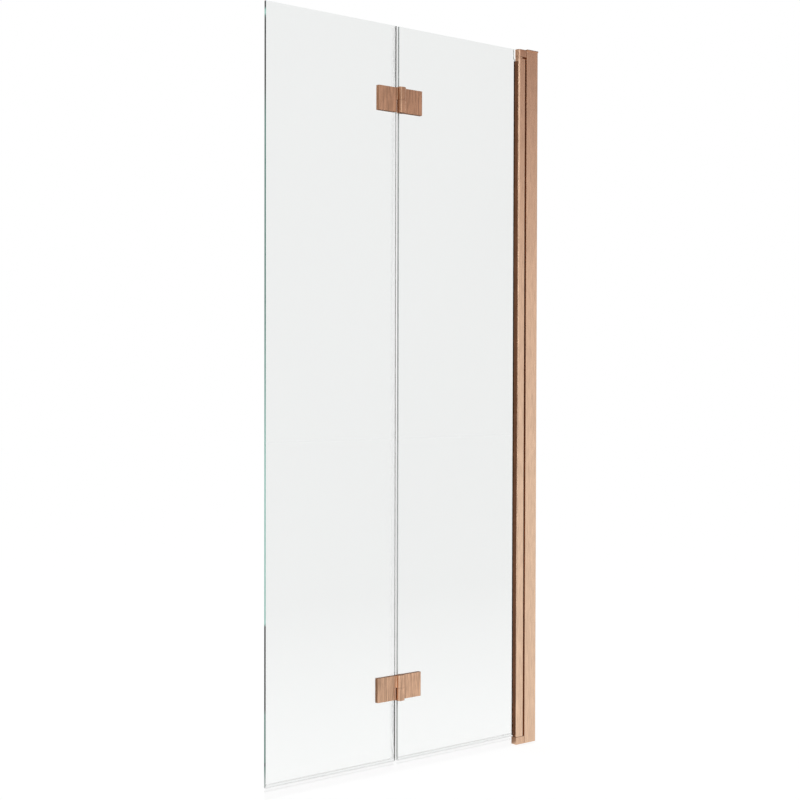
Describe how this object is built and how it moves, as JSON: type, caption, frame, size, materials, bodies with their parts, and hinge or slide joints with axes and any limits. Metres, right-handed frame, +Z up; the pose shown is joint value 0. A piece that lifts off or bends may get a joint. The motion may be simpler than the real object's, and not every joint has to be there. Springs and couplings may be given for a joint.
{
  "type": "folding bath screen",
  "caption": "Folding glass bath screen that pivots on a copper-finish wall channel and folds on itself at copper hinges, with clear drip and fold seals.",
  "frame": {"origin": "on the wall plane, at the foot of the wall channel and on the mid plane of the glass", "axes": "+X into the wall, so the screen reaches towards -X; -Y is the dry side, where the hinges show; +Z is up"},
  "size_m": [0.7, 0.0298, 1.5065],
  "materials": {
    "copper_extrusion": "brushed copper finish, brushed along the length",
    "copper_casting": "brushed copper finish",
    "copper_hinge": "brushed copper finish, brushed upright",
    "clear_glass": "clear toughened glass with ground edges",
    "clear_seal": "clear soft plastic",
    "dark_gasket": "dark brown glazing rubber",
    "leaf_pad": "thin grey pad",
    "fixing_sleeve": "pale bearing plastic",
    "bearing_plastic": "copper-brown bearing plastic",
    "steel": "stainless steel"
  },
  "bodies": {
    "wall_frame": {"wall_channel": "copper_extrusion", "adjuster_profile": "copper_extrusion", "adjuster_screws": "steel", "channel_top_cap": "copper_casting", "channel_foot_plug": "bearing_plastic", "top_pivot_block": "copper_casting", "bottom_pivot_block": "copper_casting", "pivot_block_screws": "steel", "top_pivot_pin": "steel", "bottom_pivot_pin": "steel", "bottom_thrust_washer": "bearing_plastic"},
    "inner_panel": {"pivot_profile": "copper_extrusion", "top_pivot_bush": "copper_casting", "bottom_pivot_bush": "bearing_plastic", "front_glazing_gasket": "dark_gasket", "rear_glazing_gasket": "dark_gasket", "inner_glass": "clear_glass", "inner_drip_seal": "clear_seal", "upper_hinge_inner_leaf": "copper_hinge", "upper_hinge_inner_gasket": "leaf_pad", "upper_hinge_inner_sleeves": "fixing_sleeve", "upper_hinge_inner_screws": "copper_hinge", "upper_hinge_pin": "steel", "upper_hinge_washer": "bearing_plastic", "upper_hinge_grub_screw": "steel", "lower_hinge_inner_leaf": "copper_hinge", "lower_hinge_inner_gasket": "leaf_pad", "lower_hinge_inner_sleeves": "fixing_sleeve", "lower_hinge_inner_screws": "copper_hinge", "lower_hinge_pin": "steel", "lower_hinge_washer": "bearing_plastic", "lower_hinge_grub_screw": "steel"},
    "outer_panel": {"outer_glass": "clear_glass", "outer_drip_seal": "clear_seal", "bottom_fold_seal": "clear_seal", "middle_fold_seal": "clear_seal", "top_fold_seal": "clear_seal", "upper_hinge_outer_leaf": "copper_hinge", "upper_hinge_outer_gasket": "leaf_pad", "upper_hinge_outer_sleeves": "fixing_sleeve", "upper_hinge_outer_screws": "copper_hinge", "upper_hinge_bush": "bearing_plastic", "lower_hinge_outer_leaf": "copper_hinge", "lower_hinge_outer_gasket": "leaf_pad", "lower_hinge_outer_sleeves": "fixing_sleeve", "lower_hinge_outer_screws": "copper_hinge", "lower_hinge_bush": "bearing_plastic"}
  },
  "joints": [
    {"name": "wall_swing", "type": "hinge", "parent": "wall_frame", "child": "inner_panel", "pos_m": [-0.045, 0, 0.75], "axis": [0, 0, 1], "range_deg": [-90, 90]},
    {"name": "panel_fold", "type": "hinge", "parent": "inner_panel", "child": "outer_panel", "pos_m": [-0.3835, -0.0121, 0.75], "axis": [0, 0, 1], "range_deg": [0, 180]}
  ]
}
